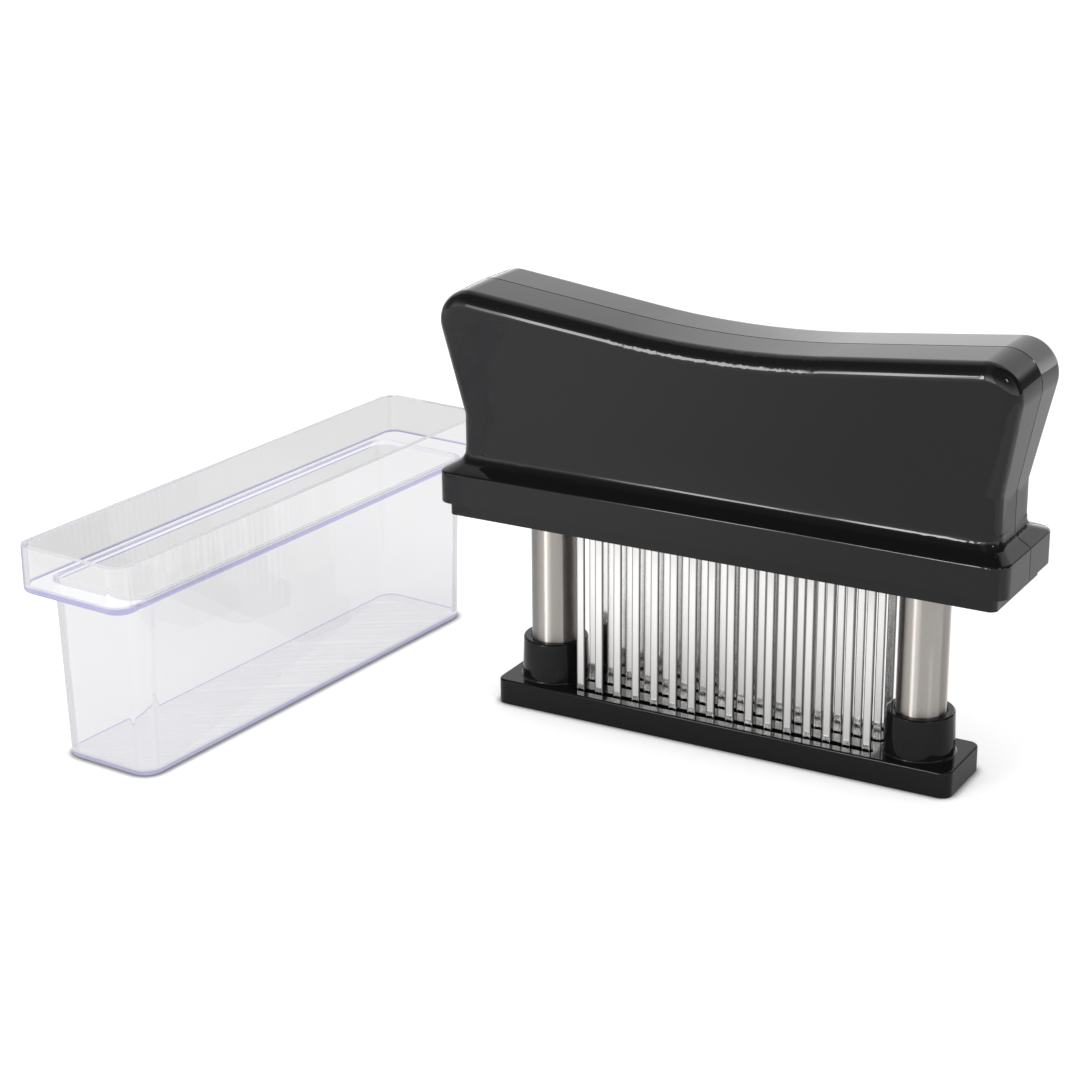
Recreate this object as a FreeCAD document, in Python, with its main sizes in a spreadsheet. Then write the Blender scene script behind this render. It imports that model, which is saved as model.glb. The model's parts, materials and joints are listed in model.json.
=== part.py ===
"""Blade meat tenderizer: a spring-loaded press with three rows of flat blades, and its clear storage cover.

Frame: millimetres, +Z up, +X along the handle to its right end, -Y towards the front.
The origin is the centre of the base plate's underside.

The guard is the base plate with its two columns. The handle, which carries the blades, slides
down over the columns against two springs, and the blades then come out below the base plate.
"""
import FreeCAD, Part
import math
import os
import Sketcher

doc = FreeCAD.newDocument("meat_tenderizer")

# ---------------------------------------------------------------- driving sizes, in mm and degrees
SIZES = {
    # base plate and its two column sockets
    "base_len": 128.0, "socket_ledge": 1.9, "base_thick": 6.8, "base_corner": 2.8, "base_edge": 0.5,
    "socket_wall": 2.75, "socket_tall": 11.2, "socket_draft": 2.0, "socket_floor": 3.5,
    "socket_mouth": 0.5, "socket_root": 0.5, "slot_wide": 2.4, "slot_spare": 0.8,
    # columns, their cores and collars
    "socket_gap": 0.325, "column_dia": 12.7, "column_wall": 0.8, "column_proud": 0.8,
    "core_top": 46.0, "pin_tall": 3.0, "pin_spare": 0.7,
    "collar_ring": 1.65, "collar_tall": 3.2, "collar_edge": 0.6, "collar_spare": 0.1,
    "travel": 34.0, "stop_spare": 0.8, "run_fit": 0.08, "seat_fit": 0.05,
    # springs
    "spring_room": 0.85, "wire_dia": 0.8, "spring_turns": 12.0, "spring_spare": 0.1, "wire_sides": 8,
    # blades and the bars that hold them
    "blade_count": 16, "blade_gap": 5.4, "row_gap": 6.9, "blade_wide": 2.15, "blade_thick": 0.6,
    "tip_up": 2.4, "tip_rise": 2.2, "bevel_long": 1.5, "bevel_deep": 0.45,
    "head_wide": 3.6, "head_tall": 2.0, "bar_wide": 3.2, "bar_end": 1.2, "bar_fit": 0.1,
    # carrier and clamp plate
    "lip_tall": 3.6, "lip_end": 2.6, "lip_side": 2.0, "lip_corner": 2.0, "carrier_tall": 7.0,
    "carrier_floor": 3.1, "carrier_fit": 0.1, "blade_way": 1.8,
    "plate_thick": 2.0, "plate_gap": 0.1, "plate_wide": 18.2, "plate_spare": 0.2,
    # handle shells
    "flange_len": 155.4, "flange_wide": 35.0, "flange_corner": 4.4, "flange_tall": 8.3,
    "flange_wall": 2.6, "flange_edge": 0.8, "shoulder_tall": 4.45,
    "end_ledge": 4.25, "side_ledge": 5.65, "neck_tall": 9.85,
    "end_flare": 11.1, "side_flare": 8.3, "saddle_over": 3.15, "saddle_slope": 6.4,
    "saddle_round": 255.0, "horn_round": 8.8, "edge_round": 4.0, "seam_draft": 1.0,
    "wall": 2.4, "well_spare": 0.5, "well_web": 2.0, "roof_wall": 3.0,
    "rib_thick": 1.6, "rib_gap": 20.0, "rib_clear": 4.0,
    # screws
    "m_shank": 3.4, "m_head": 7.2, "foot_screw_len": 15.0, "body_screw_len": 14.0,
    "body_screw_apart": 132.0, "body_screw_side": 13.0, "head_sink": 0.3, "screw_spare": 0.6,
    "clamp_shank": 2.5, "clamp_head": 4.8, "clamp_head_tall": 1.8, "clamp_len": 5.0,
    "clamp_apart": 60.0, "cross_wide": 0.9, "cross_deep": 1.0,
    # clear storage cover
    "cover_len": 134.8, "cover_wide": 28.9, "cover_draft": 1.5, "cover_corner": 4.9,
    "cover_tall": 59.2, "rim_tall": 12.2, "rim_len": 153.6, "rim_wide": 35.2,
    "cover_wall": 1.7, "cover_edge": 1.0, "gate_dia": 1.6, "gate_tall": 0.3,
    "cover_x": -124.6, "cover_y": -26.7, "cover_turn": 85.2,
}


class Size:
    """A size with its value and the expression that gives it, so both come from one line."""

    def __init__(self, text, value):
        self.text = text
        self.value = float(value)

    def __add__(self, other):
        other = as_size(other)
        return Size(f"({self.text} + {other.text})", self.value + other.value)

    def __sub__(self, other):
        other = as_size(other)
        return Size(f"({self.text} - {other.text})", self.value - other.value)

    def __mul__(self, other):
        other = as_size(other)
        return Size(f"({self.text} * {other.text})", self.value * other.value)

    def __truediv__(self, other):
        other = as_size(other)
        return Size(f"({self.text} / {other.text})", self.value / other.value)

    def __radd__(self, other):
        return as_size(other) + self

    def __rsub__(self, other):
        return as_size(other) - self

    def __rmul__(self, other):
        return as_size(other) * self

    def __neg__(self):
        return Size(f"(0 - {self.text})", -self.value)

    def tan(self):
        return Size(f"tan({self.text})", math.tan(math.radians(self.value)))


def as_size(number):
    return number if isinstance(number, Size) else Size(repr(number), number)


def fill_sheet():
    """The spreadsheet of driving sizes, and the same sizes by name."""
    sheet = doc.addObject("Spreadsheet::Sheet", "Sizes")
    named = {}
    for row, (alias, value) in enumerate(SIZES.items(), start=1):
        sheet.set(f"A{row}", alias)
        sheet.set(f"B{row}", str(value))
        sheet.setAlias(f"B{row}", alias)
        named[alias] = Size(f"Sizes.{alias}", value)
    doc.recompute()
    return named


S = fill_sheet()

PAST = 1.0      # how far a cut or an added stretch runs past the face that it has to reach
# The shoulder rises straight from the flange's edge and then turns up into the neck. Each pair is a share
# of its width, from the edge inwards, and a share of its height; the last one lies inside the neck.
SHOULDER_SLOPE = [(0, 0), (0.5, 0.281)]
SHOULDER_TURN = [(0.5, 0.281), (0.6, 0.337), (0.684, 0.3845), (0.81, 0.4836), (0.904, 0.6133),
                 (0.9614, 0.7474), (0.9919, 0.8829), (1.02, 1.2)]

# ---------------------------------------------------------------- places worked out from the sizes
column_r = S["column_dia"] / 2
core_r = column_r - S["column_wall"]
collar_r = column_r + S["collar_ring"]
socket_r = column_r + S["socket_wall"]
base_y = socket_r + S["socket_ledge"]
coil_r = core_r - S["spring_room"] - S["wire_dia"] / 2
well_r = collar_r + S["well_spare"]
seat_r = column_r - S["column_wall"] + S["seat_fit"]

row_half = S["blade_gap"] * (SIZES["blade_count"] - 1) / 2
slot_x = row_half + S["blade_wide"] / 2 + S["slot_spare"]
column_x = slot_x + S["socket_gap"] + socket_r
plate_x = column_x - well_r - S["plate_gap"]

socket_top = S["base_thick"] + S["socket_tall"]
lip_z = socket_top + S["travel"] + S["stop_spare"]
flange_z = lip_z + S["lip_tall"]
carrier_top = flange_z + S["carrier_tall"]
flange_top = flange_z + S["flange_tall"]
neck_z = flange_top + S["shoulder_tall"]
flare_z = neck_z + S["neck_tall"]

collar_z = carrier_top + S["collar_spare"]
collar_top = collar_z + S["collar_tall"]
column_top = collar_top + S["column_proud"]
well_top = column_top + S["travel"] + S["stop_spare"]
valley_z = well_top + S["saddle_over"]

flange_x = S["flange_len"] / 2
flange_y = S["flange_wide"] / 2
neck_x = flange_x - S["end_ledge"]
neck_y = flange_y - S["side_ledge"]
end_slope = S["end_flare"].tan()
side_slope = S["side_flare"].tan()
top_slope = S["saddle_slope"].tan()
horn_x = (neck_x + (valley_z - flare_z) * end_slope) / (1 - top_slope * end_slope)
horn_z = valley_z + horn_x * top_slope
grip_y = neck_y + (horn_z - flare_z) * side_slope
roof_z = valley_z + column_x * top_slope - S["roof_wall"]

bar_x = row_half + S["head_wide"] / 2 + S["bar_end"]
bar_z = lip_z + S["carrier_floor"]
head_z = carrier_top - S["head_tall"]
cavity_x = column_x - well_r - S["well_web"]
cavity_y = neck_y - S["wall"]
plate_top = carrier_top + S["plate_thick"]


# ---------------------------------------------------------------- tools for features and sketches
def bind(thing, path, size):
    """Give a property its value through an expression on the sheet."""
    size = as_size(size)
    thing.setExpression(path, size.text)


def new_body(label):
    body = doc.addObject("PartDesign::Body", label)
    body.Label = label
    body.AllowCompound = True
    return body


def plane_of(body, role):
    return [one for one in body.Origin.OriginFeatures if one.Role == role][0]


def new_sketch(body, name, role, offset=None):
    """A sketch on one of the body's own planes, moved along the plane's normal by offset."""
    sketch = body.newObject("Sketcher::SketchObject", f"{body.Label}_{name}")
    sketch.AttachmentSupport = [(plane_of(body, role), "")]
    sketch.MapMode = "FlatFace"
    if offset is not None:
        bind(sketch, "AttachmentOffset.Base.z", offset)
    return sketch


def pin(sketch, geometry, position, spot):
    """Hold one point of a sketch at a place given as two sizes; a plain 0 holds it on the axis."""
    for kind, axis, size in (("DistanceX", -2, spot[0]), ("DistanceY", -1, spot[1])):
        if not isinstance(size, Size):
            sketch.addConstraint(Sketcher.Constraint("PointOnObject", geometry, position, axis))
            continue
        index = sketch.addConstraint(Sketcher.Constraint(kind, -1, 1, geometry, position, size.value))
        bind(sketch, f"Constraints[{index}]", size)


def flat(spot):
    return FreeCAD.Vector(as_size(spot[0]).value, as_size(spot[1]).value, 0)


def draw_polygon(sketch, spots):
    """A closed outline of straight lines through the given points."""
    first = sketch.GeometryCount
    count = len(spots)
    for i in range(count):
        sketch.addGeometry(Part.LineSegment(flat(spots[i]), flat(spots[(i + 1) % count])), False)
    for i in range(count):
        sketch.addConstraint(Sketcher.Constraint("Coincident", first + i, 2, first + (i + 1) % count, 1))
    for i, spot in enumerate(spots):
        pin(sketch, first + i, 1, spot)


def draw_box(sketch, low, high):
    draw_polygon(sketch, [low, (high[0], low[1]), high, (low[0], high[1])])


def draw_circle(sketch, centre, radius):
    index = sketch.addGeometry(Part.Circle(flat(centre), FreeCAD.Vector(0, 0, 1), radius.value), False)
    pin(sketch, index, 3, centre)
    held = sketch.addConstraint(Sketcher.Constraint("Radius", index, radius.value))
    bind(sketch, f"Constraints[{held}]", radius)


def draw_rounded(sketch, half_x, low_y, high_y, radius):
    """A rectangle, even in X, with four arcs of one radius at its corners."""
    up = FreeCAD.Vector(0, 0, 1)
    first = sketch.GeometryCount
    in_x = half_x - radius
    in_low = low_y + radius
    in_high = high_y - radius
    sides = [((-in_x, low_y), (in_x, low_y)), ((half_x, in_low), (half_x, in_high)),
             ((in_x, high_y), (-in_x, high_y)), ((-half_x, in_high), (-half_x, in_low))]
    centres = [(in_x, in_low), (in_x, in_high), (-in_x, in_high), (-in_x, in_low)]
    for i in range(4):
        start, end = sides[i]
        sketch.addGeometry(Part.LineSegment(flat(start), flat(end)), False)
        turn = math.radians(90 * (i - 1))
        circle = Part.Circle(flat(centres[i]), up, radius.value)
        sketch.addGeometry(Part.ArcOfCircle(circle, turn, turn + math.pi / 2), False)
    for i in range(4):
        line, arc, after = first + 2 * i, first + 2 * i + 1, first + (2 * i + 2) % 8
        pin(sketch, line, 1, sides[i][0])
        pin(sketch, line, 2, sides[i][1])
        sketch.addConstraint(Sketcher.Constraint("Coincident", line, 2, arc, 1))
        sketch.addConstraint(Sketcher.Constraint("Coincident", arc, 2, after, 1))
        held = sketch.addConstraint(Sketcher.Constraint("Radius", arc, radius.value))
        bind(sketch, f"Constraints[{held}]", radius)


def draw_slot(sketch, half_x, y, radius):
    """A long slot along X with round ends."""
    up = FreeCAD.Vector(0, 0, 1)
    first = sketch.GeometryCount
    centre_x = half_x - radius
    middle = as_size(y).value
    reach, r = centre_x.value, radius.value
    left = Part.Circle(FreeCAD.Vector(-reach, middle, 0), up, r)
    right = Part.Circle(FreeCAD.Vector(reach, middle, 0), up, r)
    sketch.addGeometry(Part.ArcOfCircle(left, math.pi / 2, 3 * math.pi / 2), False)
    sketch.addGeometry(Part.LineSegment(FreeCAD.Vector(-reach, middle - r, 0),
                                        FreeCAD.Vector(reach, middle - r, 0)), False)
    sketch.addGeometry(Part.ArcOfCircle(right, -math.pi / 2, math.pi / 2), False)
    sketch.addGeometry(Part.LineSegment(FreeCAD.Vector(reach, middle + r, 0),
                                        FreeCAD.Vector(-reach, middle + r, 0)), False)
    for i in range(4):
        sketch.addConstraint(Sketcher.Constraint("Tangent", first + i, 2, first + (i + 1) % 4, 1))
    pin(sketch, first, 3, (-centre_x, y))
    pin(sketch, first + 2, 3, (centre_x, y))
    held = sketch.addConstraint(Sketcher.Constraint("Radius", first, r))
    bind(sketch, f"Constraints[{held}]", radius)


def pad(body, sketch, length, reverse=False, both_ways=False, taper=None):
    feature = body.newObject("PartDesign::Pad", f"{sketch.Name}_pad")
    feature.Profile = sketch
    feature.Reversed = reverse
    if both_ways:
        feature.SideType = "Symmetric"
    bind(feature, "Length", length)
    if taper is not None:
        bind(feature, "TaperAngle", taper)
    return feature


def pocket(body, sketch, length, reverse=False, both_ways=False, taper=None):
    feature = body.newObject("PartDesign::Pocket", f"{sketch.Name}_pocket")
    feature.Profile = sketch
    feature.Reversed = reverse
    if both_ways:
        feature.SideType = "Symmetric"
    bind(feature, "Length", length)
    if taper is not None:
        bind(feature, "TaperAngle", taper)
    return feature


def loft(body, kind, sketches, ruled=True):
    """A loft through the sketches, from the first to the last: straight between them, or one smooth curve."""
    feature = body.newObject(f"PartDesign::{kind}", f"{sketches[0].Name}_loft")
    feature.Profile = sketches[0]
    feature.Sections = sketches[1:]
    feature.Ruled = ruled
    return feature


def turn(body, sketch):
    """Revolve a profile drawn on the XZ plane about the vertical axis of its sketch."""
    feature = body.newObject("PartDesign::Revolution", f"{sketch.Name}_turned")
    feature.Profile = sketch
    feature.ReferenceAxis = (sketch, ["V_Axis"])
    feature.Angle = 360
    return feature


def dress(body, kind, name, radius, test):
    """Fillet or chamfer every edge of the body so far that passes the test."""
    doc.recompute()
    base = body.Tip
    picked = [f"Edge{i + 1}" for i, edge in enumerate(base.Shape.Edges) if test(edge)]
    if not picked:
        raise RuntimeError(f"{body.Label}: no edge for {name}")
    feature = body.newObject(f"PartDesign::{kind}", f"{body.Label}_{name}")
    feature.Base = (base, picked)
    bind(feature, "Radius" if kind == "Fillet" else "Size", radius)
    body.Tip = feature
    return feature


def repeat(body, features, counts, lengths):
    """Repeat features along X, and along Y where a second count is given."""
    feature = body.newObject("PartDesign::LinearPattern", f"{body.Label}_pattern{len(body.Group)}")
    feature.Originals = features
    axes = [one for role in ("X_Axis", "Y_Axis") for one in body.Origin.OriginFeatures if one.Role == role]
    feature.Direction = (axes[0], [""])
    feature.Occurrences = counts[0]
    bind(feature, "Length", lengths[0])
    if len(counts) > 1:
        feature.Direction2 = (axes[1], [""])
        feature.Occurrences2 = counts[1]
        bind(feature, "Length2", lengths[1])
    body.Tip = feature
    return feature


def near(value, size, slack=0.01):
    return abs(value - as_size(size).value) < slack


def is_level(edge, size, slack=0.01):
    """The whole edge lies at one height."""
    box = edge.BoundBox
    return near(box.ZMin, size, slack) and near(box.ZMax, size, slack)


def is_upright(edge):
    box = edge.BoundBox
    return box.XLength < 0.01 and box.YLength < 0.01 and box.ZLength > 0.5


def is_round(edge, radius):
    return hasattr(edge.Curve, "Radius") and near(edge.Curve.Radius, radius)


# ---------------------------------------------------------------- the guard
def build_base_plate():
    """The foot plate: three long blade slots between two sockets for the columns."""
    body = new_body("base_plate")
    outline = new_sketch(body, "outline", "XY_Plane")
    draw_rounded(outline, S["base_len"] / 2, -base_y, base_y, S["base_corner"])
    pad(body, outline, S["base_thick"])
    dress(body, "Fillet", "top_edge", S["base_edge"], lambda edge: is_level(edge, S["base_thick"]))
    sockets = new_sketch(body, "sockets", "XY_Plane", S["base_thick"] / 2)
    for side in (-1, 1):
        draw_circle(sockets, (column_x * side, 0), socket_r)
    pad(body, sockets, S["socket_tall"] + S["base_thick"] / 2, taper=-S["socket_draft"])
    dress(body, "Fillet", "roots", S["socket_root"], is_socket_root)
    seats = new_sketch(body, "seats", "XY_Plane", S["socket_floor"])
    for side in (-1, 1):
        draw_circle(seats, (column_x * side, 0), column_r + S["seat_fit"])
    pocket(body, seats, socket_top, reverse=True)
    dress(body, "Chamfer", "mouths", S["socket_mouth"],
          lambda edge: is_level(edge, socket_top) and is_round(edge, column_r + S["seat_fit"]))
    inner = S["column_dia"] + S["socket_wall"]
    dress(body, "Fillet", "rims", S["socket_mouth"],
          lambda edge: is_level(edge, socket_top) and edge.BoundBox.XLength > inner.value)
    slots = new_sketch(body, "slots", "XY_Plane")
    for row in (-1, 1):
        draw_slot(slots, slot_x, S["row_gap"] * row, S["slot_wide"] / 2)
    draw_slot(slots, slot_x, 0, S["slot_wide"] / 2)
    pocket(body, slots, S["base_thick"], reverse=True)
    holes = new_sketch(body, "screw_holes", "XY_Plane")
    for side in (-1, 1):
        draw_circle(holes, (column_x * side, 0), S["m_shank"] / 2)
    pocket(body, holes, S["socket_floor"], reverse=True)
    dress(body, "Chamfer", "countersinks", (S["m_head"] - S["m_shank"]) / 2 + S["head_sink"],
          lambda edge: is_level(edge, 0) and is_round(edge, S["m_shank"] / 2))
    return body


def is_socket_root(edge):
    """The ring where a socket stands on the plate's top."""
    box = edge.BoundBox
    full_ring = near(box.XLength, socket_r * 2, 0.5) and near(box.YLength, socket_r * 2, 0.5)
    return full_ring and is_level(edge, S["base_thick"])


def build_column(side, name):
    """A thin stainless tube that stands in its socket and guides the handle."""
    body = new_body(name)
    ring = new_sketch(body, "ring", "XY_Plane", S["socket_floor"])
    draw_circle(ring, (column_x * side, 0), column_r)
    draw_circle(ring, (column_x * side, 0), core_r)
    pad(body, ring, column_top - S["socket_floor"])
    return body


def build_core(side, name):
    """The plug inside a column: the foot screw bites in its lower end, the spring stands on its top."""
    body = new_body(name)
    rod = new_sketch(body, "rod", "XY_Plane", S["socket_floor"])
    draw_circle(rod, (column_x * side, 0), core_r)
    pad(body, rod, S["core_top"] - S["socket_floor"])
    nose = new_sketch(body, "nose", "XY_Plane", S["core_top"])
    draw_circle(nose, (column_x * side, 0), coil_r - S["wire_dia"] / 2 - S["pin_spare"])
    pad(body, nose, S["pin_tall"])
    dress(body, "Chamfer", "nose_edge", S["seat_fit"] * 10,
          lambda edge: is_level(edge, S["core_top"] + S["pin_tall"]))
    bore = new_sketch(body, "bore", "XY_Plane", S["socket_floor"])
    draw_circle(bore, (column_x * side, 0), S["m_shank"] / 2)
    pocket(body, bore, S["foot_screw_len"] - S["socket_floor"] + S["screw_spare"], reverse=True)
    return body


def build_collar(side, name):
    """The ring pressed on a column's top end, which stops the handle from coming off."""
    body = new_body(name)
    ring = new_sketch(body, "ring", "XY_Plane", collar_z)
    draw_circle(ring, (column_x * side, 0), collar_r)
    draw_circle(ring, (column_x * side, 0), column_r)
    pad(body, ring, S["collar_tall"])
    dress(body, "Chamfer", "edges", S["collar_edge"], lambda edge: is_round(edge, collar_r))
    return body


def build_spring(side, name):
    """A compression spring from the core's top to the handle's ceiling; its wire is drawn eight-sided."""
    wire_r = S["wire_dia"] / 2
    low = S["core_top"] + S["spring_spare"]
    high = roof_z - S["spring_spare"]
    helix = doc.addObject("Part::Helix", f"{name}_line")
    bind(helix, "Radius", coil_r)
    bind(helix, "Height", high - low - S["wire_dia"])
    bind(helix, "Pitch", (high - low - S["wire_dia"]) / S["spring_turns"])
    bind(helix, "Placement.Base.x", column_x * side)
    bind(helix, "Placement.Base.z", low + wire_r)
    wire = doc.addObject("Part::RegularPolygon", f"{name}_wire")
    wire.Polygon = SIZES["wire_sides"]
    bind(wire, "Circumradius", wire_r)
    wire.Placement = FreeCAD.Placement(FreeCAD.Vector(0, 0, 0), FreeCAD.Rotation(FreeCAD.Vector(1, 0, 0), 90))
    bind(wire, "Placement.Base.x", column_x * side + coil_r)
    bind(wire, "Placement.Base.z", low + wire_r)
    doc.recompute()
    coil = doc.addObject("Part::Sweep", name)
    coil.Sections = [wire]
    coil.Spine = (helix, [f"Edge{i + 1}" for i in range(len(helix.Shape.Edges))])
    coil.Solid = True
    coil.Frenet = True
    return coil


# ---------------------------------------------------------------- screws
def draw_countersunk(sketch, low, length):
    """Half of a countersunk screw that points up, its flat head at the given height."""
    head_r = S["m_head"] / 2
    shank_r = S["m_shank"] / 2
    point = low + length
    draw_polygon(sketch, [(0, low), (head_r, low), (shank_r, low + head_r - shank_r),
                          (shank_r, point - shank_r), (0, point)])


def draw_cross(sketch, reach):
    half = S["cross_wide"] / 2
    draw_polygon(sketch, [(-half, -reach), (half, -reach), (half, -half), (reach, -half), (reach, half),
                          (half, half), (half, reach), (-half, reach), (-half, half), (-reach, half),
                          (-reach, -half), (-half, -half)])


def build_screws(name, low, length, apart, side_apart):
    """Countersunk screws driven from below, at the corners of a rectangle or at two places in a line."""
    body = new_body(name)
    profile = new_sketch(body, "profile", "XZ_Plane")
    draw_countersunk(profile, low, length)
    shape = turn(body, profile)
    recess = new_sketch(body, "recess", "XY_Plane", low)
    draw_cross(recess, S["m_head"] / 4)
    cross = pocket(body, recess, S["cross_deep"], reverse=True)
    return place_copies(body, [shape, cross], apart, side_apart)


def place_copies(body, features, apart, side_apart):
    """Two copies along X, or four where they stand apart in Y as well, even about the middle."""
    if side_apart is None:
        repeat(body, features, [2], [apart])
        bind(body, "Placement.Base.x", -apart / 2)
        return body
    repeat(body, features, [2, 2], [apart, side_apart])
    bind(body, "Placement.Base.x", -apart / 2)
    bind(body, "Placement.Base.y", -side_apart / 2)
    return body


def build_clamp_screws():
    """Four small round-headed screws that hold the clamp plate on the carrier."""
    body = new_body("clamp_screws")
    head_r = S["clamp_head"] / 2
    shank_r = S["clamp_shank"] / 2
    head_top = plate_top + S["clamp_head_tall"]
    profile = new_sketch(body, "profile", "XZ_Plane")
    draw_polygon(profile, [(0, plate_top - S["clamp_len"]), (shank_r, plate_top - S["clamp_len"]),
                           (shank_r, plate_top), (head_r, plate_top),
                           (head_r, head_top - S["clamp_head_tall"] / 2),
                           (head_r - S["clamp_head_tall"] / 2, head_top), (0, head_top)])
    shape = turn(body, profile)
    recess = new_sketch(body, "recess", "XY_Plane", head_top)
    draw_cross(recess, head_r / 2)
    cross = pocket(body, recess, S["cross_deep"])
    return place_copies(body, [shape, cross], S["clamp_apart"], S["row_gap"])


# ---------------------------------------------------------------- blades and what holds them
def blade_spots(low):
    """The front view of one blade from the given height up: a strip with a wider head."""
    half = S["blade_wide"] / 2
    head = S["head_wide"] / 2
    return [(half, low), (half, head_z), (head, head_z), (head, carrier_top), (-head, carrier_top),
            (-head, head_z), (-half, head_z)]


def build_blade_row(row, name):
    """Sixteen flat blades in a row, each cut aslant at the tip and ground to an edge in front."""
    body = new_body(name)
    front = new_sketch(body, "front", "XZ_Plane", S["row_gap"] * -row)
    draw_polygon(front, [(-S["blade_wide"] / 2, S["tip_up"])]
                 + blade_spots(S["tip_up"] + S["tip_rise"]))
    strip = pad(body, front, S["blade_thick"], both_ways=True)
    face_y = (S["row_gap"] * row - S["blade_thick"] / 2).value
    highest = (S["tip_up"] + S["tip_rise"]).value + 0.01
    bevel = dress(body, "Chamfer", "bevel", S["bevel_long"],
                  lambda edge: near(edge.BoundBox.YMin, face_y) and near(edge.BoundBox.YMax, face_y)
                  and edge.BoundBox.ZMax < highest)
    bevel.ChamferType = "Two distances"
    bevel.FlipDirection = True
    bind(bevel, "Size2", S["bevel_deep"])
    repeat(body, [strip, bevel], [SIZES["blade_count"]], [row_half * 2])
    bind(body, "Placement.Base.x", -row_half)
    return body


def build_blade_bar(row, name):
    """The moulded bar that grips the heads of one row."""
    body = new_body(name)
    block = new_sketch(body, "block", "XY_Plane", bar_z)
    middle = S["row_gap"] * row
    draw_box(block, (row_half - bar_x, middle - S["bar_wide"] / 2),
             (row_half + bar_x, middle + S["bar_wide"] / 2))
    pad(body, block, carrier_top - bar_z)
    seat = new_sketch(body, "seat", "XZ_Plane", -middle)
    draw_polygon(seat, [(-S["blade_wide"] / 2, bar_z)] + blade_spots(bar_z))
    cut = pocket(body, seat, S["blade_thick"], both_ways=True)
    repeat(body, [cut], [SIZES["blade_count"]], [row_half * 2])
    bind(body, "Placement.Base.x", -row_half)
    return body


def build_carrier():
    """The block under the handle: it shows as a stepped-in lip, guides the columns and holds the bars."""
    body = new_body("blade_carrier")
    lip_x = flange_x - S["lip_end"]
    lip_y = flange_y - S["lip_side"]
    lip = new_sketch(body, "lip", "XY_Plane", lip_z)
    draw_rounded(lip, lip_x, -lip_y, lip_y, S["lip_corner"])
    pad(body, lip, S["lip_tall"])
    inner_x = flange_x - S["flange_wall"] - S["carrier_fit"]
    inner_y = flange_y - S["flange_wall"] - S["carrier_fit"]
    upper = new_sketch(body, "upper", "XY_Plane", flange_z)
    draw_rounded(upper, inner_x, -inner_y, inner_y, S["lip_corner"])
    pad(body, upper, S["carrier_tall"])
    bores = new_sketch(body, "bores", "XY_Plane", lip_z)
    for side in (-1, 1):
        draw_circle(bores, (column_x * side, 0), column_r + S["run_fit"])
    pocket(body, bores, carrier_top - lip_z, reverse=True)
    ways = new_sketch(body, "ways", "XY_Plane", lip_z)
    channels = new_sketch(body, "channels", "XY_Plane", bar_z)
    half_bar = S["bar_wide"] / 2 + S["bar_fit"]
    end = bar_x + S["bar_fit"]
    for row in (-1, 0, 1):
        middle = S["row_gap"] * row
        draw_box(ways, (-slot_x, middle - S["blade_way"] / 2), (slot_x, middle + S["blade_way"] / 2))
        draw_box(channels, (-end, middle - half_bar), (end, middle + half_bar))
    pocket(body, ways, S["carrier_floor"], reverse=True)
    pocket(body, channels, carrier_top - bar_z, reverse=True)
    holes = new_sketch(body, "screw_holes", "XY_Plane", lip_z)
    for x in (-1, 1):
        for y in (-1, 1):
            draw_circle(holes, (S["body_screw_apart"] / 2 * x, S["body_screw_side"] / 2 * y), S["m_shank"] / 2)
    pocket(body, holes, carrier_top - lip_z, reverse=True)
    dress(body, "Chamfer", "countersinks", (S["m_head"] - S["m_shank"]) / 2 + S["head_sink"],
          lambda edge: is_level(edge, lip_z) and is_round(edge, S["m_shank"] / 2))
    taps = new_sketch(body, "taps", "XY_Plane", carrier_top)
    for x in (-1, 1):
        for y in (-1, 1):
            draw_circle(taps, (S["clamp_apart"] / 2 * x, S["row_gap"] / 2 * y), S["clamp_shank"] / 2)
    pocket(body, taps, S["clamp_len"] - S["plate_thick"] + S["screw_spare"])
    return body


def build_clamp_plate():
    """The flat plate screwed over the bars, so that the blades can't be pushed up."""
    body = new_body("blade_clamp_plate")
    outline = new_sketch(body, "outline", "XY_Plane", carrier_top)
    draw_box(outline, (-plate_x, -S["plate_wide"] / 2), (plate_x, S["plate_wide"] / 2))
    pad(body, outline, S["plate_thick"])
    holes = new_sketch(body, "holes", "XY_Plane", carrier_top)
    for x in (-1, 1):
        for y in (-1, 1):
            draw_circle(holes, (S["clamp_apart"] / 2 * x, S["row_gap"] / 2 * y), S["clamp_shank"] / 2)
    pocket(body, holes, S["plate_thick"], reverse=True)
    dress(body, "Fillet", "corners", S["wall"], is_corner_of_plate)
    return body


def is_corner_of_plate(edge):
    return is_upright(edge) and near(abs(edge.BoundBox.XMin), plate_x)


# ---------------------------------------------------------------- the handle shells
def build_shell(side, name):
    """One half of the handle: side -1 is the front half, 1 the rear one; they meet at y = 0."""
    body = new_body(name)
    make_grip(body, side)
    make_flange(body, side)
    hollow_shell(body, side)
    return body


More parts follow.
